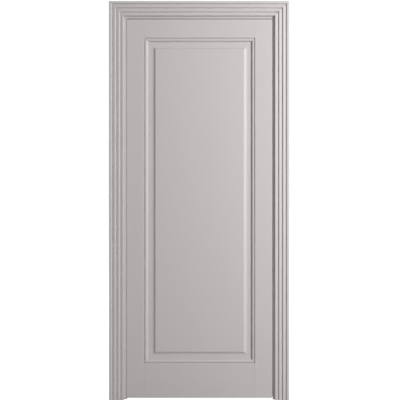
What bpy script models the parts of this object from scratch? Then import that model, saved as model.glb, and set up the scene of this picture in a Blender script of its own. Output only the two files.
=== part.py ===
"""Interior door set at full size, in metres, with +Z up.

One door leaf with a single raised and fielded panel hangs in a timber lining with planted
stops. Mitred casings frame the doorway on both faces. The origin is at floor level, in the
middle of the doorway, in the plane of the lining's front edge, and the front faces -Y.
"""

import math

import bmesh
import bpy
from mathutils import Vector

# Clearances
TOUCH_GAP = 0.0003
LEAF_GAP = 0.002
HEAD_GAP = 0.0035
LEAF_UNDERCUT = 0.008
STOP_GAP = 0.0015
TONGUE_GAP = 0.0003
TONGUE_PLAY = 0.001
HINGE_POCKET_GAP = 0.0003

# Door leaf
LEAF_WIDTH = 0.762
LEAF_HEIGHT = 1.981
LEAF_THICKNESS = 0.035
STILE_WIDTH = 0.0915
TOP_RAIL_DEPTH = 0.0972
BOTTOM_RAIL_DEPTH = 0.1823
PANEL_GROOVE_DEPTH = 0.010

# Raised and fielded panel, the same on both faces
PANEL_MARGIN_SINK = 0.0115
PANEL_MARGIN_WIDTH = 0.0209
PANEL_COVE_WIDTH = 0.019
PANEL_COVE_RISE = 0.008
PANEL_SHOULDER_WIDTH = 0.0004
PANEL_SHOULDER_RISE = 0.0012
PANEL_COVE_STEPS = 5

# Planted moulding round the panel
OVOLO_WIDTH = 0.0173
OVOLO_QUIRK_WIDTH = 0.0042
OVOLO_QUIRK_SINK = 0.005
OVOLO_FILLET_WIDTH = 0.0041
OVOLO_FILLET_SINK = 0.001
OVOLO_FOOT_HEIGHT = 0.001
OVOLO_STEPS = 5

# Lining and stops
LINING_DEPTH = 0.108
LINING_THICKNESS = 0.028
STOP_THICKNESS = 0.012
STOP_DEPTH = 0.032

# Casings
CASING_WIDTH = 0.073
CASING_THICKNESS = 0.0195
CASING_REVEAL = 0.012
CASING_OUTER_BAND = 0.0123
CASING_BAND_PITCH = 0.0204
CASING_BAND_STEP = 0.0027
CASING_RISER_RUN = 0.0018
CASING_SLOPE_WIDTH = 0.010
CASING_SLOPE_FALL = 0.0042
CASING_ARRIS = 0.003
CASING_SIGHT_ARRIS = 0.0005
CASING_ARC_STEPS = 4
FRONT_CASING_RISERS = 3
REAR_CASING_RISERS = 1

# Concealed hinges, each a half in the lining and a half in the leaf
HINGE_PLATE_HEIGHT = 0.118
HINGE_PLATE_WIDTH = 0.024
HINGE_PLATE_THICKNESS = 0.003
HINGE_PLATE_ROUNDING = 0.0115
HINGE_CASE_SETBACK = 0.002
HINGE_CASE_DEPTH = 0.016
HINGE_ROUNDING_STEPS = 5
HINGE_TOP_DROP = 0.200
HINGE_BOTTOM_RISE = 0.230

# Places worked out from the sizes above
LEAF_BOTTOM = LEAF_UNDERCUT
LEAF_TOP = LEAF_BOTTOM + LEAF_HEIGHT
LEAF_SIDE = LEAF_WIDTH / 2
JAMB_FACE = LEAF_SIDE + LEAF_GAP
HEAD_FACE = LEAF_TOP + HEAD_GAP
PANEL_OPENING_SIDE = LEAF_SIDE - STILE_WIDTH
PANEL_OPENING_LOW = LEAF_BOTTOM + BOTTOM_RAIL_DEPTH
PANEL_OPENING_HIGH = LEAF_TOP - TOP_RAIL_DEPTH
TONGUE_REACH = PANEL_GROOVE_DEPTH - TONGUE_PLAY
STOP_FRONT = LEAF_THICKNESS + STOP_GAP
SIGHT_SIDE = JAMB_FACE + CASING_REVEAL
SIGHT_HEAD = HEAD_FACE + CASING_REVEAL
MITRE_TRIM = TOUCH_GAP / math.sqrt(2)
HINGE_AXIS = Vector((-(LEAF_SIDE + LEAF_GAP / 2), 0.0, 0.0))
HINGE_HEIGHTS = {
    "bottom": LEAF_BOTTOM + HINGE_BOTTOM_RISE,
    "middle": (LEAF_BOTTOM + HINGE_BOTTOM_RISE + LEAF_TOP - HINGE_TOP_DROP) / 2,
    "top": LEAF_TOP - HINGE_TOP_DROP,
}

# Finishes
PAINT_COLOUR = (0.60, 0.575, 0.565, 1.0)
PAINT_ROUGHNESS = 0.42
STEEL_COLOUR = (0.52, 0.52, 0.53, 1.0)
STEEL_ROUGHNESS = 0.35


def clear_scene():
    """Remove the objects that a new file starts with."""
    for leftover in list(bpy.data.objects):
        bpy.data.objects.remove(leftover, do_unlink=True)


def new_collection(name):
    """Add a collection to the scene."""
    collection = bpy.data.collections.new(name)
    bpy.context.scene.collection.children.link(collection)
    return collection


def new_empty(name, location):
    """Add an empty that carries the pieces of one body."""
    empty = bpy.data.objects.new(name, None)
    empty.location = location
    PARTS.objects.link(empty)
    return empty


def finish_material(name, colour, roughness, metallic):
    """Make the material of one piece."""
    material = bpy.data.materials.new(name)
    material.use_nodes = True
    surface = material.node_tree.nodes["Principled BSDF"]
    surface.inputs["Base Color"].default_value = colour
    surface.inputs["Roughness"].default_value = roughness
    surface.inputs["Metallic"].default_value = metallic
    return material


def add_piece(name, mesh, carrier, location, turn=(0.0, 0.0, 0.0), steel=False):
    """Make an object of a mesh, give it its finish and hang it on its carrier."""
    mesh.name = name
    mesh.materials.clear()
    if steel:
        mesh.materials.append(finish_material(name, STEEL_COLOUR, STEEL_ROUGHNESS, 1.0))
    else:
        mesh.materials.append(finish_material(name, PAINT_COLOUR, PAINT_ROUGHNESS, 0.0))
    piece = bpy.data.objects.new(name, mesh)
    piece.parent = carrier
    piece.location = Vector(location) - carrier.location
    piece.rotation_euler = turn
    PARTS.objects.link(piece)
    return piece


def box_mesh(name, size):
    """Make a box about its own centre."""
    bm = bmesh.new()
    bmesh.ops.create_cube(bm, size=1.0)
    bmesh.ops.scale(bm, vec=size, verts=bm.verts)
    mesh = bpy.data.meshes.new(name)
    bm.to_mesh(mesh)
    bm.free()
    return mesh


def add_bar(name, low, high, carrier):
    """Add a square-edged bar between two opposite corners."""
    low, high = Vector(low), Vector(high)
    return add_piece(name, box_mesh(name, high - low), carrier, (low + high) / 2)


def add_cutter(name, mesh, location):
    """Add a solid that is only taken away from others."""
    cutter = bpy.data.objects.new(name, mesh)
    cutter.location = location
    cutter.hide_render = True
    cutter.display_type = "WIRE"
    CUTTERS.objects.link(cutter)
    return cutter


def cut(piece, cutter):
    """Take a cutter out of a piece."""
    difference = piece.modifiers.new(cutter.name, "BOOLEAN")
    difference.operation = "DIFFERENCE"
    difference.solver = "EXACT"
    difference.object = cutter


def extruded_outline(name, outline, length):
    """Extrude a closed outline in XY along Z, centred, as one closed mesh."""
    curve = bpy.data.curves.new(name, "CURVE")
    curve.dimensions = "2D"
    curve.fill_mode = "BOTH"
    curve.extrude = length / 2
    spline = curve.splines.new("POLY")
    spline.points.add(len(outline) - 1)
    for point, (across, out) in zip(spline.points, outline):
        point.co = (across, out, 0.0, 1.0)
    spline.use_cyclic_u = True
    rod = bpy.data.objects.new(name, curve)
    PARTS.objects.link(rod)
    depsgraph = bpy.context.evaluated_depsgraph_get()
    mesh = bpy.data.meshes.new_from_object(rod.evaluated_get(depsgraph))
    bpy.data.objects.remove(rod, do_unlink=True)
    bm = bmesh.new()
    bm.from_mesh(mesh)
    bmesh.ops.remove_doubles(bm, verts=bm.verts, dist=0.00001)
    bmesh.ops.recalc_face_normals(bm, faces=bm.faces)
    bm.to_mesh(mesh)
    bm.free()
    return mesh


def mitred_length(name, outline, sight_length, mitre_low, mitre_high):
    """Cut a length of moulding whose outline has its sight edge at x = 0.

    The length is measured on the sight edge. A mitred end grows with the distance from that
    edge, and is trimmed by its half of the gap in the mitre.
    """
    mesh = extruded_outline(name, outline, sight_length)
    for vertex in mesh.vertices:
        if vertex.co.z > 0 and mitre_high:
            vertex.co.z += vertex.co.x - MITRE_TRIM
        elif vertex.co.z < 0 and mitre_low:
            vertex.co.z -= vertex.co.x - MITRE_TRIM
    return mesh


def casing_outline(risers):
    """Section of a casing: its sight edge at x = 0, its back at y = 0, its face at -y.

    From the sight edge outwards, each band is level and then slopes away, and a steep riser
    climbs to the next band, which stands a little further out.
    """
    points = [(0.0, 0.0)]
    start = 0.0
    for riser in range(risers, 0, -1):
        crest = CASING_THICKNESS - riser * CASING_BAND_STEP
        riser_top = CASING_WIDTH - CASING_OUTER_BAND - (riser - 1) * CASING_BAND_PITCH
        low = riser_top - CASING_RISER_RUN
        if start == 0.0:
            points.append((0.0, -(crest - CASING_SIGHT_ARRIS)))
            start = CASING_SIGHT_ARRIS
        slope_start = max(start, low - CASING_SLOPE_WIDTH)
        if slope_start > start:
            points.append((start, -crest))
        points.append((slope_start, -crest))
        points.append((low, CASING_SLOPE_FALL - crest))
        start = riser_top
    points.append((start, -CASING_THICKNESS))
    for step in range(CASING_ARC_STEPS + 1):
        angle = math.pi / 2 * step / CASING_ARC_STEPS
        across = CASING_WIDTH - CASING_ARRIS * (1 - math.sin(angle))
        points.append((across, -(CASING_THICKNESS - CASING_ARRIS * (1 - math.cos(angle)))))
    points.append((CASING_WIDTH, 0.0))
    return points


def ovolo_outline():
    """Section of the panel moulding: sight edge at x = 0, the leaf's face at y = 0."""
    back = PANEL_MARGIN_SINK - TOUCH_GAP
    edge = OVOLO_WIDTH - TOUCH_GAP
    quirk = OVOLO_WIDTH - OVOLO_QUIRK_WIDTH
    crown = quirk - OVOLO_FILLET_WIDTH
    foot = back - OVOLO_FOOT_HEIGHT
    points = [(0.0, back), (edge, back), (edge, OVOLO_QUIRK_SINK), (quirk, OVOLO_QUIRK_SINK)]
    points.append((quirk, OVOLO_FILLET_SINK))
    for step in range(OVOLO_STEPS + 1):
        angle = math.pi / 2 * step / OVOLO_STEPS
        across = crown * (1 - math.sin(angle))
        points.append((across, foot - (foot - OVOLO_FILLET_SINK) * math.cos(angle)))
    return points


def add_casings(side, outline, turn, face, carrier):
    """Mitre three casings round the doorway on one face of the wall.

    The turn is 0 for the front and half a turn about Z for the rear.
    """
    leg = SIGHT_HEAD
    flip = -1 if turn else 1
    right = mitred_length("right", outline, leg, False, True)
    left = mitred_length("left", outline, leg, True, False)
    head = mitred_length("head", outline, 2 * SIGHT_SIDE, True, True)
    half = leg / 2
    names = ("left", "right") if flip == 1 else ("right", "left")
    outward = flip * SIGHT_SIDE
    add_piece(f"casing_{side}_{names[1]}", right, carrier, (outward, face, half), (0, 0, turn))
    add_piece(f"casing_{side}_{names[0]}", left, carrier, (-outward, face, half),
              (0, math.pi, turn))
    add_piece(f"casing_{side}_head", head, carrier, (0, face, SIGHT_HEAD),
              (0, -math.pi / 2, turn))


def add_lining(carrier):
    """Stand two jambs, lay the head on them, and plant the three stops."""
    outer = JAMB_FACE + LINING_THICKNESS
    jamb_top = HEAD_FACE - TOUCH_GAP
    left = add_bar("lining_left", (-outer, 0, 0), (-JAMB_FACE, LINING_DEPTH, jamb_top), carrier)
    add_bar("lining_right", (JAMB_FACE, 0, 0), (outer, LINING_DEPTH, jamb_top), carrier)
    add_bar("lining_head", (-outer, 0, HEAD_FACE),
            (outer, LINING_DEPTH, HEAD_FACE + LINING_THICKNESS), carrier)
    stop_side = JAMB_FACE - TOUCH_GAP
    stop_sight = stop_side - STOP_THICKNESS
    stop_head = HEAD_FACE - TOUCH_GAP
    stop_top = stop_head - STOP_THICKNESS
    stop_back = STOP_FRONT + STOP_DEPTH
    leg_top = stop_top - TOUCH_GAP
    add_bar("stop_left", (-stop_side, STOP_FRONT, 0), (-stop_sight, stop_back, leg_top), carrier)
    add_bar("stop_right", (stop_sight, STOP_FRONT, 0), (stop_side, stop_back, leg_top), carrier)
    add_bar("stop_head", (-stop_side, STOP_FRONT, stop_top),
            (stop_side, stop_back, stop_head), carrier)
    return left


def add_leaf_frame(carrier):
    """Add two stiles and two rails, grooved round the panel opening."""
    back = LEAF_THICKNESS
    side = PANEL_OPENING_SIDE
    rail_end = side - TOUCH_GAP
    hinge_stile = add_bar("stile_hinge_side", (-LEAF_SIDE, 0, LEAF_BOTTOM),
                          (-side, back, LEAF_TOP), carrier)
    lock_stile = add_bar("stile_closing_side", (side, 0, LEAF_BOTTOM),
                         (LEAF_SIDE, back, LEAF_TOP), carrier)
    bottom_rail = add_bar("rail_bottom", (-rail_end, 0, LEAF_BOTTOM),
                          (rail_end, back, PANEL_OPENING_LOW), carrier)
    top_rail = add_bar("rail_top", (-rail_end, 0, PANEL_OPENING_HIGH),
                       (rail_end, back, LEAF_TOP), carrier)
    tongue = LEAF_THICKNESS - 2 * PANEL_MARGIN_SINK
    height = PANEL_OPENING_HIGH - PANEL_OPENING_LOW
    size = (2 * (side + PANEL_GROOVE_DEPTH), tongue + 2 * TONGUE_GAP,
            height + 2 * PANEL_GROOVE_DEPTH)
    centre = (0, LEAF_THICKNESS / 2, (PANEL_OPENING_LOW + PANEL_OPENING_HIGH) / 2)
    groove = add_cutter("panel_groove", box_mesh("panel_groove", size), centre)
    for member in (hinge_stile, lock_stile, bottom_rail, top_rail):
        cut(member, groove)
    return hinge_stile


def raise_face(bm, face, inset, rise):
    """Inset one flat face and lift what is left of it."""
    bmesh.ops.inset_region(bm, faces=[face], thickness=inset, depth=rise,
                           use_even_offset=True, use_boundary=True)


def add_panel(carrier):
    """Raise and field both faces of a board whose edges are the tongue."""
    tongue = LEAF_THICKNESS - 2 * PANEL_MARGIN_SINK
    height = PANEL_OPENING_HIGH - PANEL_OPENING_LOW + 2 * TONGUE_REACH
    size = (2 * (PANEL_OPENING_SIDE + TONGUE_REACH), tongue, height)
    mesh = box_mesh("panel", size)
    bm = bmesh.new()
    bm.from_mesh(mesh)
    radius = (PANEL_COVE_WIDTH ** 2 + PANEL_COVE_RISE ** 2) / (2 * PANEL_COVE_RISE)
    faces = [face for face in bm.faces if abs(face.normal.y) > 0.9]
    for face in faces:
        raise_face(bm, face, TONGUE_REACH + OVOLO_WIDTH + PANEL_MARGIN_WIDTH, 0.0)
        height_so_far = 0.0
        for step in range(1, PANEL_COVE_STEPS + 1):
            across = PANEL_COVE_WIDTH * step / PANEL_COVE_STEPS
            rise = radius - math.sqrt(radius ** 2 - across ** 2)
            raise_face(bm, face, PANEL_COVE_WIDTH / PANEL_COVE_STEPS, rise - height_so_far)
            height_so_far = rise
        raise_face(bm, face, PANEL_SHOULDER_WIDTH, PANEL_SHOULDER_RISE)
    bm.to_mesh(mesh)
    bm.free()
    middle = (PANEL_OPENING_LOW + PANEL_OPENING_HIGH) / 2
    add_piece("panel", mesh, carrier, (0, LEAF_THICKNESS / 2, middle))


def add_panel_mouldings(side, turn, face, carrier):
    """Mitre four lengths of ovolo round the panel on one face of the leaf."""
    outline = ovolo_outline()
    sight = PANEL_OPENING_SIDE - OVOLO_WIDTH
    low = PANEL_OPENING_LOW + OVOLO_WIDTH
    high = PANEL_OPENING_HIGH - OVOLO_WIDTH
    middle = (low + high) / 2
    flip = -1 if turn else 1
    places = {
        "right": (high - low, (flip * sight, face, middle), 0.0),
        "left": (high - low, (-flip * sight, face, middle), math.pi),
        "top": (2 * sight, (0, face, high), -math.pi / 2),
        "bottom": (2 * sight, (0, face, low), math.pi / 2),
    }
    other = {"right": "left", "left": "right"}
    for name, (length, location, roll) in places.items():
        label = other.get(name, name) if turn else name
        mesh = mitred_length(name, outline, length, True, True)
        add_piece(f"panel_moulding_{side}_{label}", mesh, carrier, location, (0, roll, turn))


def hinge_half_mesh(name, grow):
    """Make a hinge half: a round-ended plate at x = 0 with its case behind it at -x.

    Growing it on every side but the front gives the pocket that it sits in.
    """
    width = HINGE_PLATE_WIDTH + 2 * grow
    height = HINGE_PLATE_HEIGHT + 2 * grow
    thickness = HINGE_PLATE_THICKNESS + 2 * grow
    mesh = box_mesh(name, (thickness, width, height))
    bm = bmesh.new()
    bm.from_mesh(mesh)
    bmesh.ops.translate(bm, vec=(grow - thickness / 2, 0, 0), verts=bm.verts)
    corners = [edge for edge in bm.edges
               if abs(edge.verts[0].co.x - edge.verts[1].co.x) > thickness / 2]
    bmesh.ops.bevel(bm, geom=corners, offset=HINGE_PLATE_ROUNDING, affect="EDGES",
                    segments=HINGE_ROUNDING_STEPS, profile=0.5, material=-1)
    back = min(bm.faces, key=lambda face: face.calc_center_median().x)
    raise_face(bm, back, HINGE_CASE_SETBACK, 0.0)
    case = bmesh.ops.extrude_face_region(bm, geom=[back])["geom"]
    moved = [element for element in case if isinstance(element, bmesh.types.BMVert)]
    bmesh.ops.translate(bm, vec=(-HINGE_CASE_DEPTH, 0, 0), verts=moved)
    if back.is_valid:
        bmesh.ops.delete(bm, geom=[back], context="FACES_ONLY")
    bmesh.ops.recalc_face_normals(bm, faces=bm.faces)
    bm.to_mesh(mesh)
    bm.free()
    return mesh


def add_hinges(jamb, stile, jamb_carrier, leaf_carrier):
    """Let three pairs of hinge halves into the lining and into the leaf's edge."""
    across = LEAF_THICKNESS / 2
    for level, height in HINGE_HEIGHTS.items():
        halves = {
            "lining": (jamb, jamb_carrier, -JAMB_FACE, 0.0),
            "leaf": (stile, leaf_carrier, -LEAF_SIDE, math.pi),
        }
        for side, (member, carrier, place, turn) in halves.items():
            name = f"hinge_{level}_{side}_half"
            half = hinge_half_mesh(name, 0.0)
            add_piece(name, half, carrier, (place, across, height), (0, 0, turn), steel=True)
            pocket_name = f"pocket_{level}_{side}"
            pocket_mesh = hinge_half_mesh(pocket_name, HINGE_POCKET_GAP)
            pocket = add_cutter(pocket_name, pocket_mesh, (place, across, height))
            pocket.rotation_euler = (0, 0, turn)
            cut(member, pocket)


def build():
    """Build the whole door set."""
    frame = new_empty("door_frame", (0.0, 0.0, 0.0))
    leaf = new_empty("leaf_on_hinge_axis", HINGE_AXIS)
    jamb = add_lining(frame)
    add_casings("front", casing_outline(FRONT_CASING_RISERS), 0.0, -TOUCH_GAP, frame)
    add_casings("rear", casing_outline(REAR_CASING_RISERS), math.pi,
                LINING_DEPTH + TOUCH_GAP, frame)
    stile = add_leaf_frame(leaf)
    add_panel(leaf)
    add_panel_mouldings("front", 0.0, 0.0, leaf)
    add_panel_mouldings("rear", math.pi, LEAF_THICKNESS, leaf)
    add_hinges(jamb, stile, frame, leaf)


clear_scene()
PARTS = new_collection("interior_door")
CUTTERS = new_collection("cutters")
build()
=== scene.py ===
# %% [markdown]
# An interior door set, finished as it leaves the paint shop.
# The construction is already there: the solids of the lining, the casings and the leaf load as a
# fixed frame, at their real size in metres, with the front facing -Y. This lesson dresses them.
# Each moulding is drawn again with finer rounds, each square arris is eased by the width that a
# sanding block leaves, and every surface gets its own procedural finish.

# %% Load the door set's frame
import math

import bmesh
import bpy
from mathutils import Matrix, Vector


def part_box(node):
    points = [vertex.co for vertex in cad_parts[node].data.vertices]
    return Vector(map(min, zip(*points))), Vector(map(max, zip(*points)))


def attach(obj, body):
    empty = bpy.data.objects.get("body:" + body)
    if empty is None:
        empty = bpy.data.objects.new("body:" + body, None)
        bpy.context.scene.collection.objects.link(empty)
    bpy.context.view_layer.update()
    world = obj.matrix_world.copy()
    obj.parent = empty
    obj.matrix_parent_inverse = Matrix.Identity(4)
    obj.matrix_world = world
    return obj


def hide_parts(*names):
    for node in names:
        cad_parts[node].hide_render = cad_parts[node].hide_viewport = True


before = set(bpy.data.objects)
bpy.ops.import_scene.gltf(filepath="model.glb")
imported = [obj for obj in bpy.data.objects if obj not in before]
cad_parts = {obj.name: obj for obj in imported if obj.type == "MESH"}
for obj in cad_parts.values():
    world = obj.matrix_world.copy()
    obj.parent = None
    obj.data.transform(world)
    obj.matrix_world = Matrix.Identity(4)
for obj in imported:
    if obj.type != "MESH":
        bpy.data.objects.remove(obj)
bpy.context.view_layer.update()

# %% [markdown]
# Sizes that several pieces share are read off the solids, so that nothing is typed twice.
# A box gives the lowest and highest corner of one solid, and the leaf's faces and the panel
# opening follow from five of them. The casing's sight edge is read in the same way further on.

# %% Read the main sizes from the solids
hinge_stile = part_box("stile_hinge_side")
closing_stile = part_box("stile_closing_side")
top_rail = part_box("rail_top")
bottom_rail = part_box("rail_bottom")
panel_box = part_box("panel")
leaf_side = closing_stile[1].x
leaf_bottom, leaf_top = hinge_stile[0].z, hinge_stile[1].z
leaf_thickness = hinge_stile[1].y
opening_side = closing_stile[0].x
opening_low, opening_high = bottom_rail[1].z, top_rail[0].z
print(f"leaf {2 * leaf_side:.3f} x {leaf_top - leaf_bottom:.3f} m, panel opening "
      f"{2 * opening_side:.3f} x {opening_high - opening_low:.3f} m")

# %% [markdown]
# Shader maths reads best as arithmetic. This small class wraps one socket, and its operators add
# the Math nodes, so a line such as 1 - mask * 0.5 builds the nodes that work it out.

# %% A socket that does arithmetic
class Wire:
    """One output socket of a shader tree, with operators that add Math nodes."""

    def __init__(self, tree, socket):
        self.tree = tree
        self.socket = socket

    def maths(self, operation, left, right):
        node = self.tree.nodes.new("ShaderNodeMath")
        node.operation = operation
        for slot, value in zip(node.inputs, (left, right)):
            if isinstance(value, Wire):
                self.tree.links.new(value.socket, slot)
            else:
                slot.default_value = value
        return Wire(self.tree, node.outputs[0])

    def __add__(self, other):
        return self.maths("ADD", self, other)

    def __sub__(self, other):
        return self.maths("SUBTRACT", self, other)

    def __rsub__(self, other):
        return self.maths("SUBTRACT", other, self)

    def __mul__(self, other):
        return self.maths("MULTIPLY", self, other)

    __radd__ = __add__
    __rmul__ = __mul__


# %% [markdown]
# The paint, the timber and the white surround are all trees of shader nodes. One method adds any
# node to any of them: its settings are set first, because they can change which sockets it has,
# and then its inputs, each a plain value or a link.

# %% A shader tree to add nodes to
class Shading:
    """A shader tree, with the one method that adds nodes to it."""

    def __init__(self, tree):
        self.tree = tree

    def node(self, kind, settings=None, inputs=None, output=0):
        """Add a node, set it up and return one of its outputs."""
        node = self.tree.nodes.new(kind)
        for key, value in (settings or {}).items():
            setattr(node, key, value)
        for key, value in (inputs or {}).items():
            if isinstance(value, Wire):
                self.tree.links.new(value.socket, node.inputs[key])
            else:
                node.inputs[key].default_value = value
        return Wire(self.tree, node.outputs[output])


# %% [markdown]
# A finish is a Principled surface plus whatever feeds it. What is the same all over is set on the
# surface's own sockets, and what changes over it is linked. Patterns read Object coordinates,
# because every piece sits at the origin and the paint should run on from one to the next.

# %% A finish under construction
class Finish(Shading):
    """A material and the means to build it up."""

    COLOUR_LOW = 6
    COLOUR_HIGH = 7
    COLOUR_OUT = 2

    def __init__(self, name, constants=None):
        self.material = bpy.data.materials.new(name)
        self.material.use_nodes = True
        super().__init__(self.material.node_tree)
        self.surface = self.tree.nodes["Principled BSDF"]
        for socket, value in (constants or {}).items():
            self.surface.inputs[socket].default_value = value

    def place(self, stretch):
        """Object coordinates, divided along each axis by how far a mark runs there."""
        place = self.node("ShaderNodeTexCoord", output="Object")
        return self.node("ShaderNodeMapping", {"vector_type": "POINT"},
                         {"Vector": place, "Scale": [1 / run for run in stretch]})

    def noise(self, stretch, detail=2.0, roughness=0.5):
        """Noise whose marks run as long on each axis as stretch says, in metres."""
        return self.node("ShaderNodeTexNoise", None,
                         {"Vector": self.place(stretch), "Scale": 1.0, "Detail": detail,
                          "Roughness": roughness})

    def blend(self, factor, low, high):
        """Mix two colours. The Mix node's colour sockets go by number."""
        return self.node("ShaderNodeMix", {"data_type": "RGBA"},
                         {"Factor": factor, self.COLOUR_LOW: low, self.COLOUR_HIGH: high},
                         output=self.COLOUR_OUT)

    def feed(self, socket, value):
        """Link what changes over the surface to the Principled surface."""
        self.tree.links.new(value.socket, self.surface.inputs[socket])

    def relief(self, height, depth):
        """Turn a height into a bumped normal, depth metres deep."""
        self.feed("Normal", self.node("ShaderNodeBump", None,
                                      {"Strength": 1.0, "Distance": depth, "Height": height}))


def mark_along(axis, width, length):
    """How far a mark runs on X, Y and Z: its length along one axis and its width across it."""
    run = [width] * 3
    run["XYZ".index(axis)] = length
    return run


# %% [markdown]
# The paint is a satin, light warm grey. Sprayed and rolled paint is never quite flat: it keeps a
# fine stipple about a millimetre across, it pools into soft waves some centimetres long, and a
# brush leaves faint strokes along the piece's own length. Those three make the bump. The colour
# drifts by a percent or so over a hand's width, and the sheen drifts with the thickness of the
# coat. An image could hold all this, but a procedural pattern stays sharp at any distance.

# %% Paint that runs along a piece
PAINT = (0.612, 0.579, 0.574, 1.0)
PAINT_THIN = (0.598, 0.566, 0.561, 1.0)
STIPPLE = 0.0011
STROKE_LENGTH = 0.16
STROKE_WIDTH = 0.0016
POOL = 0.035
DRIFT = 0.18
SHEEN = 0.52
SHEEN_DRIFT = 0.08
SHEEN_STIPPLE = 0.06
PAINT_RELIEF = 0.00007


def paint(name, along):
    """Satin paint whose brush strokes run along X, Y or Z."""
    finish = Finish(name)
    stipple = finish.noise([STIPPLE] * 3, detail=1.5)
    strokes = finish.noise(mark_along(along, STROKE_WIDTH, STROKE_LENGTH), detail=2.0)
    pools = finish.noise([POOL] * 3, detail=1.0)
    drift = finish.noise([DRIFT] * 3, detail=2.0)
    coat = drift * 0.6 + strokes * 0.4
    finish.feed("Base Color", finish.blend(coat, PAINT_THIN, PAINT))
    finish.feed("Roughness", SHEEN + drift * SHEEN_DRIFT + stipple * SHEEN_STIPPLE)
    finish.relief(stipple * 0.5 + strokes * 0.5 + pools * 0.5, PAINT_RELIEF)
    return finish.material


paint_up = paint("satin_paint_upright", "Z")
paint_across = paint("satin_paint_level", "X")
print("paint:", paint_up.name, paint_across.name)

# %% [markdown]
# The faces that go against the wall aren't painted. On a real lining they are planed softwood,
# which shows where the casings are seen from behind. Grain is a pattern stretched far along the
# piece and a few millimetres wide across it: a noise that is cut into soft bands of darker late
# wood, with a second, broader noise that lets the bands wander, and fine fibres over both.

# %% Planed softwood on the hidden backs
PINE = (0.66, 0.49, 0.31, 1.0)
PINE_LATE = (0.50, 0.33, 0.18, 1.0)
RING = 0.007
WANDER = 0.042
GRAIN_RUN = 0.45
FIBRE_WIDTH = 0.0006
FIBRE_LENGTH = 0.05
LATE_FROM = 0.46
LATE_TO = 0.60
PLANED = 0.55
PLANED_RELIEF = 0.0001


def softwood(name, along):
    """Bare planed pine whose grain runs along X, Y or Z."""
    finish = Finish(name)
    wander = finish.noise(mark_along(along, WANDER, GRAIN_RUN), detail=2.0)
    rings = finish.noise(mark_along(along, RING, GRAIN_RUN), detail=3.0, roughness=0.6)
    fibres = finish.noise(mark_along(along, FIBRE_WIDTH, FIBRE_LENGTH), detail=2.0)
    late = finish.node("ShaderNodeMapRange", {"interpolation_type": "SMOOTHSTEP"},
                       {"Value": rings * 0.7 + wander * 0.3,
                        "From Min": LATE_FROM, "From Max": LATE_TO})
    finish.feed("Base Color", finish.blend(late * 0.75 + fibres * 0.2, PINE, PINE_LATE))
    finish.feed("Roughness", PLANED + fibres * 0.2)
    finish.relief(fibres * 0.7 - late * 0.3, PLANED_RELIEF)
    return finish.material


pine_up = softwood("planed_pine_upright", "Z")
pine_across = softwood("planed_pine_level", "X")
print("bare timber:", pine_up.name, pine_across.name)

# %% [markdown]
# The hinges are satin nickel plate on steel. A metal's colour is its reflection, so the brushing
# has to come from the roughness and the bump: hair-fine streaks along the plate's height.

# %% Satin nickel
NICKEL_DULL = (0.56, 0.55, 0.53, 1.0)
NICKEL = (0.68, 0.66, 0.63, 1.0)
STREAK_WIDTH = 0.00035
SMUDGE = 0.02
STREAK_LENGTH = 0.03
BRUSHED = 0.22
STREAK_RELIEF = 0.00003


def satin_nickel(name):
    """Brushed nickel plate with upright streaks."""
    finish = Finish(name, {"Metallic": 1.0})
    streaks = finish.noise(mark_along("Z", STREAK_WIDTH, STREAK_LENGTH), detail=2.0)
    smudge = finish.noise(mark_along("Z", SMUDGE, STREAK_LENGTH), detail=2.0)
    finish.feed("Base Color", finish.blend(smudge, NICKEL_DULL, NICKEL))
    finish.feed("Roughness", BRUSHED + streaks * 0.16 + smudge * 0.08)
    finish.relief(streaks, STREAK_RELIEF)
    return finish.material


nickel = satin_nickel("satin_nickel")
print("metal:", nickel.name)

# %% [markdown]
# Every finished mesh is stored the same way: its place is in its vertices, its curved parts are
# shaded smooth and its arrises stay crisp. Smooth shading would also bend the light on a flat
# face next to a round, so on a moulding a Weighted Normal modifier lets the large faces lead. A
# planed bar is flat but for its eased arrises, so there only those are smooth. The piece then
# rides on its body, and stands for the solid whose place it takes.

# %% Store a finished mesh as a piece
CRISP = math.radians(38)
FACING = 0.9
made = []


def keep(name, bm, body, node, materials):
    """Write the mesh out, shade it and tie it to its body and its solid."""
    for edge in bm.edges:
        if edge.calc_face_angle(0.0) > CRISP:
            edge.smooth = False
    curved = all(face.smooth for face in bm.faces)
    mesh = bpy.data.meshes.new(name)
    bm.to_mesh(mesh)
    bm.free()
    for material in materials:
        mesh.materials.append(material)
    piece = bpy.data.objects.new(name, mesh)
    bpy.context.scene.collection.objects.link(piece)
    if curved:
        lead = piece.modifiers.new("flat_faces_lead", "WEIGHTED_NORMAL")
        lead.keep_sharp = True
    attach(piece, body)
    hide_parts(node)
    made.append(piece)


# %% [markdown]
# A moulding is one section drawn out along its length, as a cutter block shapes it. The section
# could be a list of points, but a pencil made of operators says more about its form: a straight
# stroke extrudes the last vertex, and a round spins it through a quarter turn and then stretches
# the arc, which gives the quarter ellipse of an ovolo.

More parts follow.
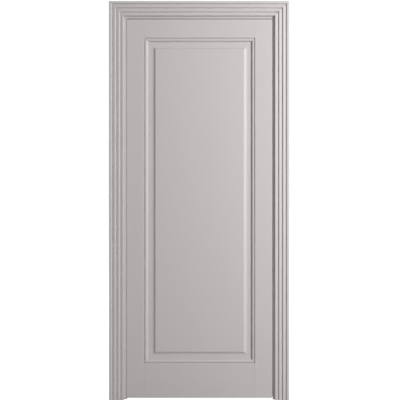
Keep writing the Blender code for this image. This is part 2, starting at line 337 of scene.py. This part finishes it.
# %% A pencil for sections
class Section:
    """A closed outline in XY: x across from the sight edge, y = 0 at the back or the face."""

    def __init__(self, across, out):
        self.bm = bmesh.new()
        self.first = self.last = self.bm.verts.new((across, out, 0.0))

    def line(self, across, out):
        """Draw a straight stroke."""
        end = bmesh.ops.extrude_vert_indiv(self.bm, verts=[self.last])["verts"][0]
        end.co = (across, out, 0.0)
        self.last = end

    def round(self, centre, turn, stretch, steps):
        """Spin the last vertex about a centre, then stretch the arc from that centre."""
        before = set(self.bm.verts)
        middle = Vector((*centre, 0.0))
        spun = bmesh.ops.spin(self.bm, geom=[self.last], cent=middle, axis=(0, 0, 1),
                              angle=turn, steps=steps, use_duplicate=False)
        arc = [vertex for vertex in self.bm.verts if vertex not in before]
        bmesh.ops.scale(self.bm, vec=(*stretch, 1.0), verts=arc,
                        space=Matrix.Translation(-middle))
        self.last = next(item for item in spun["geom_last"]
                         if isinstance(item, bmesh.types.BMVert))

    def drawn_out(self, length):
        """Close the outline, fill it and extrude it to a length centred on z = 0."""
        self.bm.edges.new((self.last, self.first))
        face = bmesh.ops.contextual_create(self.bm, geom=self.bm.edges[:])["faces"][0]
        bmesh.ops.translate(self.bm, vec=(0, 0, -length / 2), verts=self.bm.verts)
        top = bmesh.ops.extrude_face_region(self.bm, geom=[face], use_keep_orig=True)["geom"]
        ends = [item for item in top if isinstance(item, bmesh.types.BMVert)]
        bmesh.ops.translate(self.bm, vec=(0, 0, length), verts=ends)
        bmesh.ops.recalc_face_normals(self.bm, faces=self.bm.faces)
        for face in self.bm.faces:
            face.smooth = True
        return self.bm


# %% [markdown]
# Two lengths meet in a mitre: each end is cut at 45 degrees, so a point that lies further from
# the sight edge also lies further along. That is a shear, and one matrix does it for a whole
# end. The length is then rolled about Y into its place round the opening: none for the right
# side, half a turn for the left and a quarter for the top and the bottom. A rear length is also
# turned half round about Z, so that left and right change places. Every joint keeps the narrow
# gap of 0.3 mm that the solids have.

# %% Mitre a length and put it in place
JOINT = 0.0003
MITRE_TRIM = JOINT / math.sqrt(2)
ROLL = {"right": 0.0, "left": math.pi, "head": -math.pi / 2, "top": -math.pi / 2,
        "bottom": math.pi / 2}
OPPOSITE = {"left": "right", "right": "left"}
SHORTEST_RUN = 0.1
SHARP = math.radians(50)


def mitre(bm, low, high):
    """Shear the chosen ends outwards by each point's distance from the sight edge."""
    for wanted, sign in ((low, -1), (high, 1)):
        if wanted:
            shear = Matrix.Identity(4)
            shear[2][0] = sign
            shear[2][3] = -sign * MITRE_TRIM
            end = [vertex for vertex in bm.verts if vertex.co.z * sign > 0]
            bmesh.ops.transform(bm, matrix=shear, verts=end)


def put(bm, place, roll, turn):
    """Roll a length about Y, turn it about Z and move it to its place."""
    matrix = (Matrix.Translation(place) @ Matrix.Rotation(turn, 4, "Z")
              @ Matrix.Rotation(roll, 4, "Y"))
    bmesh.ops.transform(bm, matrix=matrix, verts=bm.verts)


def side_name(run, turn):
    """Which side a length ends up on, as seen from the front."""
    return OPPOSITE.get(run, run) if turn else run


def soften(bm, edges, width, segments=2):
    """Round the chosen arrises, and shade the rounds smooth."""
    rounds = bmesh.ops.bevel(bm, geom=edges, offset=width, affect="EDGES", segments=segments,
                             profile=0.5, material=-1, clamp_overlap=True)["faces"]
    for face in rounds:
        face.smooth = True


def long_arrises(bm, least=SHARP, most=math.pi):
    """The edges that run along a length and turn between two angles."""
    return [edge for edge in bm.edges
            if abs(edge.verts[0].co.z - edge.verts[1].co.z) > SHORTEST_RUN
            and least < edge.calc_face_angle(0.0) < most]


# %% [markdown]
# The casing's section steps down towards the door in bands. From the sight edge outwards, a band
# is level, then slopes away, and then a steep riser climbs to the next band, which stands a
# little further out. Repeating that in a loop gives the run of bright and dark lines that the
# casing shows. The rear casing has the same body with one riser only.

# %% The casing's section
CASING_OUTER_BAND = 0.0123
CASING_BAND_PITCH = 0.0204
CASING_BAND_STEP = 0.0027
CASING_RISER_RUN = 0.0018
CASING_SLOPE_WIDTH = 0.010
CASING_SLOPE_FALL = 0.0042
CASING_ARRIS = 0.003
ARRIS_STEPS = 6

casing_low, casing_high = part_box("casing_front_left")
CASING_WIDTH = casing_high.x - casing_low.x
CASING_THICKNESS = casing_high.y - casing_low.y


def casing_length(risers, length):
    """Draw a casing's section with so many risers and extrude it."""
    section = Section(0.0, 0.0)
    start = 0.0
    for riser in range(risers, 0, -1):
        crest = CASING_THICKNESS - riser * CASING_BAND_STEP
        riser_top = CASING_WIDTH - CASING_OUTER_BAND - (riser - 1) * CASING_BAND_PITCH
        riser_foot = riser_top - CASING_RISER_RUN
        section.line(start, -crest)
        section.line(riser_foot - CASING_SLOPE_WIDTH, -crest)
        section.line(riser_foot, CASING_SLOPE_FALL - crest)
        start = riser_top
    section.line(start, -CASING_THICKNESS)
    corner = (CASING_WIDTH - CASING_ARRIS, CASING_ARRIS - CASING_THICKNESS)
    section.line(corner[0], -CASING_THICKNESS)
    section.round(corner, math.pi / 2, (1.0, 1.0), ARRIS_STEPS)
    section.line(CASING_WIDTH, 0.0)
    return section.drawn_out(length)


print(f"casing {CASING_WIDTH * 1000:.1f} wide and {CASING_THICKNESS * 1000:.1f} mm thick")

# %% [markdown]
# Three lengths frame the doorway on each face. A leg is square at the floor and mitred at the
# top, and the head is mitred at both ends. Their backs lie on the wall, so the faces that look
# back at it are bare timber, and all the others are painted. A blunt crest, where a level band
# starts to slope away, is rounded more than a sharp arris, because sanding and paint wear it.

# %% Case the doorway on both faces
SIGHT_EASE = 0.0006
CREST_EASE = 0.0015
CREST_LEAST = math.radians(18)
CREST_MOST = math.radians(30)
FRONT_FACE = casing_high.y
REAR_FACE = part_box("casing_rear_left")[0].y
SIGHT_SIDE = -casing_high.x
SIGHT_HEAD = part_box("casing_front_head")[0].z


def case_doorway(face_name, risers, turn, face):
    """Make the three casings of one face and put them in place."""
    outward = -1 if turn else 1
    places = {
        "right": (SIGHT_HEAD, (outward * SIGHT_SIDE, face, SIGHT_HEAD / 2), False, True),
        "left": (SIGHT_HEAD, (-outward * SIGHT_SIDE, face, SIGHT_HEAD / 2), True, False),
        "head": (2 * SIGHT_SIDE, (0, face, SIGHT_HEAD), True, True),
    }
    for run, (length, place, low, high) in places.items():
        bm = casing_length(risers, length)
        soften(bm, long_arrises(bm, CREST_LEAST, CREST_MOST), CREST_EASE)
        soften(bm, long_arrises(bm), SIGHT_EASE)
        mitre(bm, low, high)
        for side in bm.faces:
            side.material_index = 1 if side.normal.y > FACING else 0
        put(bm, place, ROLL[run], turn)
        label = side_name(run, turn)
        timber = (paint_across, pine_across) if run == "head" else (paint_up, pine_up)
        keep(f"{face_name}_casing_{label}", bm, "frame", f"casing_{face_name}_{label}", timber)


case_doorway("front", 3, 0.0, FRONT_FACE)
case_doorway("rear", 1, math.pi, REAR_FACE)
print("casings:", [piece.name for piece in made])

# %% [markdown]
# Planed bars keep the solid's own form, with its grooves and hinge pockets, and only lose their
# sharp corners. So each starts as a copy of its solid. The copy's loose triangles are merged and
# the flat ones dissolved, which leaves clean faces, and then the arrises that show are rounded.

# %% Ease the arrises of a planed bar
WELD = 0.00001
COPLANAR = math.radians(0.5)
SQUARE_SLACK = 0.02
NEAR = 0.0005


def planed_copy(node):
    """A clean mesh of a solid: corners merged, flat faces whole."""
    bm = bmesh.new()
    bm.from_mesh(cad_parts[node].data)
    bmesh.ops.remove_doubles(bm, verts=bm.verts, dist=WELD)
    bmesh.ops.dissolve_limit(bm, angle_limit=COPLANAR, verts=bm.verts, edges=bm.edges,
                             use_dissolve_boundaries=False)
    return bm


def square_edges(bm):
    """The edges where two faces meet squarely and stand proud."""
    return [edge for edge in bm.edges
            if edge.is_manifold and edge.is_convex
            and abs(edge.calc_face_angle(0.0) - math.pi / 2) < SQUARE_SLACK]


def middle_of(edge):
    """The middle of an edge."""
    return (edge.verts[0].co + edge.verts[1].co) / 2


# %% [markdown]
# The lining is three planed boards. Its outer faces go against the wall and stay bare. The stops
# are slim bars pinned to it, behind the leaf, and the leaf closes against them.

# %% The lining and its stops
LINING_EASE = 0.001
STOP_EASE = 0.0015
LONG_EDGE = 0.2
lining_back = abs(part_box("lining_left")[0].x)
lining_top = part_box("lining_head")[1].z


def towards_wall(middle):
    """True for what lies on the lining's outer faces."""
    return abs(middle.x) > lining_back - NEAR or middle.z > lining_top - NEAR


def finish_lining(node, materials):
    """Ease a board of the lining, and leave the faces towards the wall bare."""
    bm = planed_copy(node)
    soften(bm, [edge for edge in square_edges(bm)
                if edge.calc_length() > LONG_EDGE and not towards_wall(middle_of(edge))],
           LINING_EASE)
    for side in bm.faces:
        side.material_index = 1 if towards_wall(side.calc_center_median()) else 0
    keep(f"planed_{node}", bm, "frame", node, materials)


def finish_stop(node, material):
    """Ease the long arrises of a stop."""
    bm = planed_copy(node)
    soften(bm, [edge for edge in square_edges(bm) if edge.calc_length() > LONG_EDGE], STOP_EASE)
    keep(f"planed_{node}", bm, "frame", node, (material,))


finish_lining("lining_left", (paint_up, pine_up))
finish_lining("lining_right", (paint_up, pine_up))
finish_lining("lining_head", (paint_across, pine_across))
finish_stop("stop_left", paint_up)
finish_stop("stop_right", paint_up)
finish_stop("stop_head", paint_across)
print("lining and stops:", len(made))

# %% [markdown]
# Stiles and rails are glued up flush, so no arris may be rounded where a rail runs into a stile:
# that would cut a notch across the joint. The stile's inner arris is therefore cut into stretches
# at the panel opening with bisect_plane, and only the stretch beside the panel is eased. It is
# rounded a little more than the leaf's outer arrises, which are eased all round once the leaf is
# glued up.

# %% The leaf's stiles and rails
OPENING_ARRIS = 0.0018
OUTER_ARRIS = 0.0008
SHORT_EDGE = 0.06
CUT_SLACK = 0.00002


def beside_panel(edge):
    """True for an arris of the panel opening, away from the joints."""
    middle = middle_of(edge)
    on_side = (abs(abs(middle.x) - opening_side) < NEAR
               and opening_low < middle.z < opening_high)
    on_end = (abs(middle.x) < opening_side
              and min(abs(middle.z - opening_low), abs(middle.z - opening_high)) < NEAR)
    return on_side or on_end


def on_leaf_edge(edge):
    """True for an outer arris of the glued-up leaf."""
    middle = middle_of(edge)
    return (abs(middle.x) > leaf_side - NEAR or middle.z < leaf_bottom + NEAR
            or middle.z > leaf_top - NEAR)


def on_leaf_face(edge):
    """True for an edge in the front or rear face of the leaf."""
    depth = middle_of(edge).y
    return min(depth, leaf_thickness - depth) < NEAR


def finish_leaf_member(node, material):
    """Ease a stile or a rail where it shows and isn't joined."""
    bm = planed_copy(node)
    for height in (opening_low, opening_high):
        geometry = bm.verts[:] + bm.edges[:] + bm.faces[:]
        bmesh.ops.bisect_plane(bm, geom=geometry, plane_co=(0, 0, height), plane_no=(0, 0, 1),
                               dist=CUT_SLACK)
    for wanted, width in ((beside_panel, OPENING_ARRIS), (on_leaf_edge, OUTER_ARRIS)):
        soften(bm, [edge for edge in square_edges(bm)
                    if edge.calc_length() > SHORT_EDGE and on_leaf_face(edge) and wanted(edge)],
               width, segments=3)
    keep(f"leaf_{node}", bm, "leaf", node, (material,))


finish_leaf_member("stile_hinge_side", paint_up)
finish_leaf_member("stile_closing_side", paint_up)
finish_leaf_member("rail_top", paint_across)
finish_leaf_member("rail_bottom", paint_across)
print("leaf members:", [piece.name for piece in made[-4:]])

# %% [markdown]
# The panel is one board, raised and fielded on both faces. A spindle cuts it in one pass: a flat
# margin, a hollow cove that steepens towards the field, and a small shoulder up to it.
# inset_region does the same to one face: each step goes in a little and up by what the arc of the
# cove says, and its corners come out mitred by themselves.

# %% Raise and field the panel
MARGIN_WIDTH = 0.0209
MOULDING_WIDTH = 0.0173
COVE_WIDTH = 0.019
COVE_RISE = 0.008
COVE_STEPS = 14
SHOULDER_WIDTH = 0.0004
SHOULDER_RISE = 0.0012
FIELD_EASE = 0.0004
MITRE_SLACK = 0.00005
MARGIN_SINK = (leaf_thickness - (panel_box[1].y - panel_box[0].y)) / 2 + COVE_RISE + SHOULDER_RISE


def rise_inwards(bm, face, inset, rise):
    """Inset one face and lift what is left of it."""
    bmesh.ops.inset_region(bm, faces=[face], thickness=inset, depth=rise,
                           use_even_offset=True, use_boundary=True)


def fielded_panel():
    """Shape the board between its two faces."""
    bm = bmesh.new()
    low, high = panel_box
    size = Vector((high.x - low.x, leaf_thickness - 2 * MARGIN_SINK, high.z - low.z))
    bmesh.ops.create_cube(bm, size=1.0)
    bmesh.ops.scale(bm, vec=size, verts=bm.verts)
    bmesh.ops.translate(bm, vec=(low + high) / 2, verts=bm.verts)
    radius = (COVE_WIDTH ** 2 + COVE_RISE ** 2) / (2 * COVE_RISE)
    tongue = high.x - opening_side
    for face in [face for face in bm.faces if abs(face.normal.y) > FACING]:
        rise_inwards(bm, face, tongue + MOULDING_WIDTH + MARGIN_WIDTH, 0.0)
        lifted = 0.0
        for step in range(1, COVE_STEPS + 1):
            across = COVE_WIDTH * step / COVE_STEPS
            rise = radius - math.sqrt(radius ** 2 - across ** 2)
            rise_inwards(bm, face, COVE_WIDTH / COVE_STEPS, rise - lifted)
            lifted = rise
        rise_inwards(bm, face, SHOULDER_WIDTH, SHOULDER_RISE)
        soften(bm, list(face.edges), FIELD_EASE)
    for face in bm.faces:
        face.smooth = True
    for edge in bm.edges:
        run = edge.verts[1].co - edge.verts[0].co
        if abs(run.x) > MITRE_SLACK and abs(run.z) > MITRE_SLACK:
            edge.smooth = False
    return bm


keep("fielded_panel", fielded_panel(), "leaf", "panel", (paint_up,))
print("panel margin lies", round(MARGIN_SINK * 1000, 1), "mm below the stiles")

# %% [markdown]
# The planted moulding hides the panel's groove. Its section starts with a flat foot at the sight
# edge, swells up in an ovolo to a narrow fillet, and drops into a quirk against the stile. The
# quirk gives the thin dark line round the panel, and the ovolo the bright or shaded band.

# %% The panel moulding's section
QUIRK_WIDTH = 0.0042
QUIRK_SINK = 0.005
FILLET_WIDTH = 0.0041
FILLET_SINK = 0.001
FOOT_HEIGHT = 0.001
OVOLO_STEPS = 12


def ovolo_length(length):
    """Draw the moulding's section, with the leaf's face at y = 0, and extrude it."""
    back = MARGIN_SINK - JOINT
    edge = MOULDING_WIDTH - JOINT
    quirk = MOULDING_WIDTH - QUIRK_WIDTH
    crown = quirk - FILLET_WIDTH
    foot = back - FOOT_HEIGHT
    section = Section(0.0, back)
    section.line(edge, back)
    section.line(edge, QUIRK_SINK)
    section.line(quirk, QUIRK_SINK)
    section.line(quirk, FILLET_SINK)
    section.line(crown, FILLET_SINK)
    depth = foot - FILLET_SINK
    section.round((crown, foot), -math.pi / 2, (crown / depth, 1.0), OVOLO_STEPS)
    return section.drawn_out(length)


# %% [markdown]
# Four lengths are mitred round the panel on each face of the leaf, like a small picture frame
# inside the opening. Planting them is how a joiner hides the groove without cutting a moulding
# on the stiles and rails themselves.

# %% Plant the panel mouldings
OVOLO_EASE = 0.0003


def plant_mouldings(face_name, turn, face):
    """Mitre four lengths round the panel on one face of the leaf."""
    sight = opening_side - MOULDING_WIDTH
    low, high = opening_low + MOULDING_WIDTH, opening_high - MOULDING_WIDTH
    outward = -1 if turn else 1
    places = {
        "right": (high - low, (outward * sight, face, (low + high) / 2)),
        "left": (high - low, (-outward * sight, face, (low + high) / 2)),
        "top": (2 * sight, (0, face, high)),
        "bottom": (2 * sight, (0, face, low)),
    }
    for run, (length, place) in places.items():
        bm = ovolo_length(length)
        soften(bm, long_arrises(bm), OVOLO_EASE)
        mitre(bm, True, True)
        put(bm, place, ROLL[run], turn)
        label = side_name(run, turn)
        coat = paint_across if run in ("top", "bottom") else paint_up
        keep(f"{face_name}_ovolo_{label}", bm, "leaf", f"panel_moulding_{face_name}_{label}",
             (coat,))


plant_mouldings("front", 0.0, 0.0)
plant_mouldings("rear", math.pi, leaf_thickness)
print("panel mouldings:", len([piece for piece in made if "ovolo" in piece.name]))

# %% [markdown]
# Each concealed hinge is two cast halves let in flush. Only their round-ended plates show, and
# only while the door is open. The solid has the form already, so a merged copy of it gets an
# eased rim. Two screws hold each half. A screw head is a low cone, its crown set in by an inset,
# and two cuts with bisect_plane mark the strip that is pushed down to make the slot.

# %% A slotted screw head
SCREW_RADIUS = 0.0042
SCREW_TAPER = 0.9
SCREW_STAND = 0.0005
SCREW_CROWN = 0.0007
SCREW_CROWN_RISE = 0.00015
SLOT_WIDTH = 0.0011
SLOT_DEPTH = 0.0006
SCREW_SIDES = 32
FLAT = 0.9999


def screw_head(slot_turn):
    """A slotted head on the XY plane, facing +Z."""
    head = bmesh.new()
    bmesh.ops.create_cone(head, cap_ends=True, segments=SCREW_SIDES, radius1=SCREW_RADIUS,
                          radius2=SCREW_RADIUS * SCREW_TAPER, depth=SCREW_STAND)
    crown = max(head.faces, key=lambda face: face.calc_center_median().z)
    bmesh.ops.inset_region(head, faces=[crown], thickness=SCREW_CROWN, depth=SCREW_CROWN_RISE,
                           use_even_offset=True)
    for sign in (-1, 1):
        bmesh.ops.bisect_plane(head, geom=[crown, *crown.edges, *crown.verts], dist=WELD,
                               plane_co=(sign * SLOT_WIDTH / 2, 0, 0), plane_no=(1, 0, 0))
        crown = min((face for face in head.faces if face.normal.z > FLAT),
                    key=lambda face: abs(face.calc_center_median().x))
    slot = bmesh.ops.extrude_discrete_faces(head, faces=[crown])["faces"][0]
    bmesh.ops.translate(head, vec=(0, 0, -SLOT_DEPTH), verts=slot.verts)
    bmesh.ops.recalc_face_normals(head, faces=head.faces)
    bmesh.ops.rotate(head, verts=head.verts, matrix=Matrix.Rotation(slot_turn, 3, "Z"))
    mesh = bpy.data.meshes.new("screw")
    head.to_mesh(mesh)
    head.free()
    return mesh


# %% [markdown]
# The screws are turned home by hand, so no two slots point the same way. Each head is laid
# against its plate and joined into the same mesh as the hinge half, because it moves with it.

# %% Hinge halves and their screws
SCREW_SPREAD = 0.046
RIM_EASE = 0.0004
RIM_ANGLE = math.radians(60)
SLOT_TURNS = (0.35, 1.9, 2.6, 0.9, 1.3, 2.2)


def finish_hinge(level, half, body, slot_turn):
    """Ease one hinge half and screw it on."""
    node = f"hinge_{level}_{half}_half"
    bm = planed_copy(node)
    low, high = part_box(node)
    facing = 1 if half == "lining" else -1
    shown = high.x if half == "lining" else low.x
    rim = [edge for edge in bm.edges
           if edge.is_manifold and edge.calc_face_angle(0.0) > RIM_ANGLE
           and all(abs(vertex.co.x - shown) < NEAR for vertex in edge.verts)]
    soften(bm, rim, RIM_EASE)
    middle = (low + high) / 2
    for number, rise in enumerate((-SCREW_SPREAD, SCREW_SPREAD)):
        plate = set(bm.verts)
        bm.from_mesh(screw_head(slot_turn + number))
        head = [vertex for vertex in bm.verts if vertex not in plate]
        lay = (Matrix.Translation((shown, middle.y, middle.z + rise))
               @ Matrix.Rotation(facing * math.pi / 2, 4, "Y"))
        bmesh.ops.transform(bm, matrix=lay, verts=head)
    keep(f"nickel_{node}", bm, body, node, (nickel,))


turns = iter(SLOT_TURNS)
for level in ("bottom", "middle", "top"):
    finish_hinge(level, "lining", "frame", next(turns))
    finish_hinge(level, "leaf", "leaf", next(turns))
print("hinges:", len([piece for piece in made if "hinge" in piece.name]))

# %% [markdown]
# The stage is plain: a pale floor and a white surround. The camera should see clean white all
# round, while the light that comes back from it stays soft and dim, or the mouldings would lose
# their shadows. So the world shows white to the camera and a dim grey to every other ray. That
# grey is stronger on the left, which is one multiplication on the direction's X.

# %% The surround
def show(shading, output, seen, felt):
    """Show one shader to the camera and another to all other rays."""
    camera_ray = shading.node("ShaderNodeLightPath", output="Is Camera Ray")
    mix = shading.node("ShaderNodeMixShader", None, {0: camera_ray, 1: felt, 2: seen})
    shading.tree.links.new(mix.socket, shading.tree.nodes[output].inputs["Surface"])


WHITE = (1.0, 1.0, 1.0, 1.0)
BACKDROP = 1.02
AMBIENT = 0.308
LEFT_LEAN = 0.4

world = bpy.data.worlds.new("white_surround")
bpy.context.scene.world = world
world.use_nodes = True
surround = Shading(world.node_tree)
direction = surround.node("ShaderNodeTexCoord", output="Generated")
rightward = surround.node("ShaderNodeSeparateXYZ", None, {"Vector": direction}, output="X")
dim = AMBIENT * (1 - LEFT_LEAN * rightward)
white_seen = surround.node("ShaderNodeBackground", None, {"Color": WHITE, "Strength": BACKDROP})
grey_felt = surround.node("ShaderNodeBackground", None, {"Color": WHITE, "Strength": dim})
show(surround, "World Output", white_seen, grey_felt)
print("surround:", world.name)

# %% [markdown]
# The floor is one large square, and it works as the surround does. Light that falls on it finds
# a plain mid grey, which sends little back up at the door. Where the camera sees it, a glow is
# added, so it looks as pale as the surround but still takes the door's shadow.

# %% The floor
FLOOR_REACH = 40.0
FLOOR_GREY = (0.4, 0.4, 0.4, 1.0)
FLOOR_ROUGHNESS = 0.8
FLOOR_GLOW = 0.93

bm = bmesh.new()
bmesh.ops.create_grid(bm, x_segments=1, y_segments=1, size=FLOOR_REACH)
floor_mesh = bpy.data.meshes.new("floor")
bm.to_mesh(floor_mesh)
bm.free()
floor = bpy.data.objects.new("floor", floor_mesh)
bpy.context.scene.collection.objects.link(floor)
floor_finish = Finish("pale_floor", {"Base Color": FLOOR_GREY, "Roughness": FLOOR_ROUGHNESS,
                                     "Specular IOR Level": 0.0})
floor_grey = Wire(floor_finish.tree, floor_finish.surface.outputs["BSDF"])
glow = floor_finish.node("ShaderNodeEmission", None, {"Strength": FLOOR_GLOW})
floor_pale = floor_finish.node("ShaderNodeAddShader", None, {0: floor_grey, 1: glow})
show(floor_finish, "Material Output", floor_pale, floor_grey)
floor_mesh.materials.append(floor_finish.material)
print("floor:", floor.name, "reaches", FLOOR_REACH, "m from the door")

# %% [markdown]
# A tall strip light stands to the right of the door. It rakes across the face at about 48
# degrees, so every slope that looks right is bright and every slope that looks left is in shade.
# A strip is narrow across and long upwards: its shadows are crisp beside upright mouldings and
# soft below level ones, which is why the head looks flatter than the legs. It is aimed high and
# to the right, so the door gets darker towards its foot and its left side. A weaker light behind
# shows the rear, and none of it reaches the front.

# %% Lights
def soft_light(name, place, aim, width, height, power):
    """A rectangular area light that looks at a point."""
    lamp = bpy.data.lights.new(name, "AREA")
    lamp.shape = "RECTANGLE"
    lamp.size = width
    lamp.size_y = height
    lamp.energy = power
    holder = bpy.data.objects.new(name, lamp)
    holder.location = place
    holder.rotation_mode = "QUATERNION"
    holder.rotation_quaternion = (Vector(aim) - Vector(place)).to_track_quat("-Z", "Y")
    bpy.context.scene.collection.objects.link(holder)


KEY_PLACE = (2.787, -2.509, 2.25)
KEY_AIM = (1.0, -0.4, 2.8)
KEY_WIDTH = 0.8
KEY_HEIGHT = 3.6
KEY_POWER = 159.0
FILL_PLACE = (-2.4, 3.2, 2.4)
FILL_AIM = (0.0, 0.1, 1.0)
FILL_SIDE = 1.6
FILL_POWER = 100.0
soft_light("key", KEY_PLACE, KEY_AIM, KEY_WIDTH, KEY_HEIGHT, KEY_POWER)
soft_light("rear_fill", FILL_PLACE, FILL_AIM, FILL_SIDE, FILL_SIDE, FILL_POWER)
print("key light at", KEY_PLACE)

# %% [markdown]
# The photograph is square on, with no converging lines, so the camera looks straight along +Y.
# It stands a little to the right of the door, which shows in the left inner side of the casing,
# and a small lens shift brings the door back to the middle, as a view camera would.

# %% Camera
PHOTO_SIDE = 400
SENSOR = 36.0
PIXELS_PER_METRE = 191.1
LEAF_MIDDLE_PIXEL = 199.55
LEAF_TOP_PIXEL = 19.3
EYE = Vector((0.40, -2.5, 1.06))

camera_data = bpy.data.cameras.new("camera")
camera_data.sensor_width = SENSOR
camera_data.lens = PIXELS_PER_METRE * -EYE.y / PHOTO_SIDE * SENSOR
camera_data.shift_x = (PHOTO_SIDE / 2 - PIXELS_PER_METRE * EYE.x - LEAF_MIDDLE_PIXEL) / PHOTO_SIDE
camera_data.shift_y = (LEAF_TOP_PIXEL - PHOTO_SIDE / 2
                       + PIXELS_PER_METRE * (leaf_top - EYE.z)) / PHOTO_SIDE
camera = bpy.data.objects.new("camera", camera_data)
camera.location = EYE
camera.rotation_euler = (math.pi / 2, 0, 0)
bpy.context.scene.collection.objects.link(camera)
bpy.context.scene.camera = camera
bpy.context.scene.view_settings.view_transform = "Standard"
print(f"lens {camera_data.lens:.1f} mm, shift {camera_data.shift_x:.3f}, "
      f"{camera_data.shift_y:.3f}")
